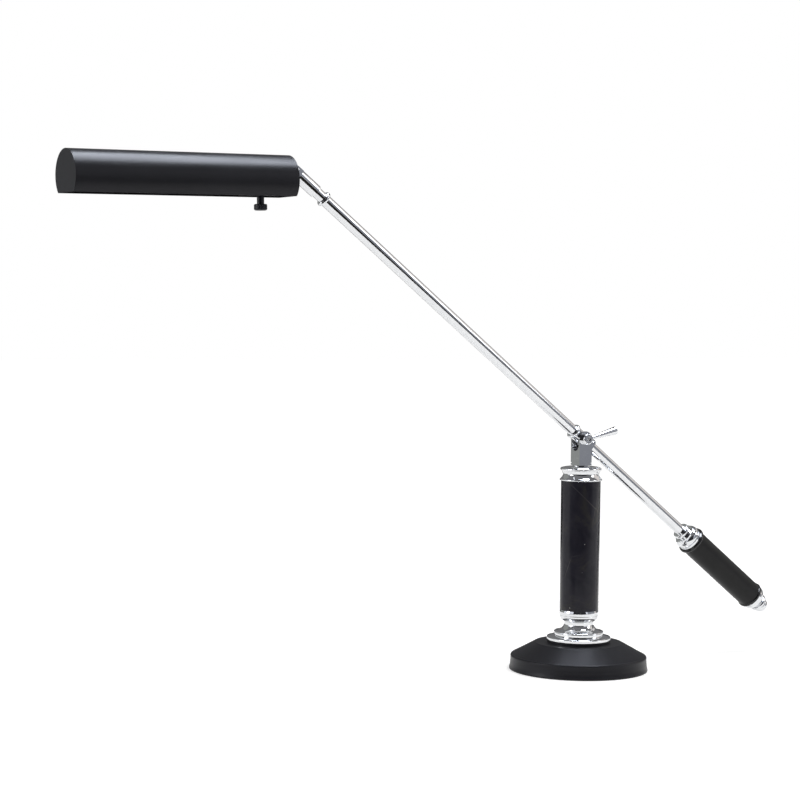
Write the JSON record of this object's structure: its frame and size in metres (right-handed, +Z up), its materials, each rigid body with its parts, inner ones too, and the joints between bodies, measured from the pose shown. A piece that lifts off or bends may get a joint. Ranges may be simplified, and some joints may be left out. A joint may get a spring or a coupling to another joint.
{
  "type": "piano lamp",
  "caption": "Counterbalanced piano lamp: tubular shade on a tilting arm with a weighted end, carried by a clamped swivel fork on a marble column and round weighted base.",
  "frame": {"origin": "centre of the round base at its underside", "axes": "+Z up along the column; the arm lies in the XZ plane with the shade towards -X and the counterweight towards +X; the clamp lever is on the -Y side"},
  "size_m": [0.9452, 0.1647, 0.5869],
  "materials": {
    "black_paint": "satin",
    "chrome": "polished",
    "steel": "zinc plated",
    "marble": "polished",
    "cast_iron": "rough",
    "felt": "felt",
    "rubber": "matt",
    "weight_black": "matt",
    "black_plastic": "moulded",
    "brass": "bright",
    "bulb_glass": "frosted"
  },
  "bodies": {
    "base": {"base_felt": "felt", "base_cover": "black_paint", "base_weight": "cast_iron", "cord_bushing": "rubber", "threaded_rod": "steel", "rod_washer": "steel", "rod_nut": "steel", "rod_top_nut": "steel", "foot_flange": "chrome", "foot_neck": "chrome", "column_lower_ring": "chrome", "marble_column": "marble", "column_upper_ring": "chrome", "cap_disc": "chrome"},
    "fork": {"fork_block": "chrome", "swivel_washer": "steel", "swivel_nut": "steel", "clamp_washers": "chrome", "clamp_nut": "chrome"},
    "lever": {"clamp_screw": "steel", "clamp_hub": "chrome", "clamp_lever": "chrome"},
    "arm": {"arm_coupling": "chrome", "arm_tube_upper": "chrome", "arm_tube_lower": "chrome", "arm_ferrule": "chrome", "swivel_retainer": "steel", "counterweight_collar": "chrome", "counterweight_front_cap": "chrome", "counterweight_core": "steel", "counterweight_front_ring": "rubber", "counterweight_sleeve": "weight_black", "counterweight_rear_ring": "rubber", "counterweight_rear_cap": "chrome", "counterweight_finial": "chrome"},
    "head": {"head_barrel": "chrome", "hinge_pin": "chrome"},
    "shade": {"hinge_tongue": "chrome", "tongue_nut": "steel", "socket_bracket": "steel", "socket_nipple": "steel", "socket_body": "black_plastic", "socket_screw_shell": "brass", "socket_contact": "brass", "bulb_base": "brass", "bulb_glass": "bulb_glass", "shade_tube": "black_paint", "shade_outer_cap": "black_paint", "shade_inner_cap": "black_paint"},
    "switch": {"switch_stem": "black_plastic", "switch_knob": "black_plastic"}
  },
  "joints": [
    {"name": "fork_swivel", "type": "hinge", "parent": "base", "child": "fork", "pos_m": [0, 0, 0.2416], "axis": [0, 0, 1], "range_deg": [-160, 160]},
    {"name": "arm_tilt", "type": "hinge", "parent": "fork", "child": "arm", "pos_m": [0, 0, 0.2741], "axis": [0, 1, 0], "range_deg": [-45, 5]},
    {"name": "lever_turn", "type": "hinge", "parent": "fork", "child": "lever", "pos_m": [0, -0.012, 0.2741], "axis": [0, 1, 0], "range_deg": [-80, 35]},
    {"name": "head_swivel", "type": "hinge", "parent": "arm", "child": "head", "pos_m": [-0.36083, 0, 0.54798], "axis": [-0.7965, 0, 0.6046], "range_deg": [-90, 90]},
    {"name": "shade_tilt", "type": "hinge", "parent": "head", "child": "shade", "pos_m": [-0.39118, 0, 0.57102], "axis": [0, 1, 0], "range_deg": [-30, 80]},
    {"name": "switch_turn", "type": "hinge", "parent": "shade", "child": "switch", "pos_m": [-0.43005, 0, 0.53433], "axis": [-0.0227, 0, 0.9997], "continuous": true}
  ]
}
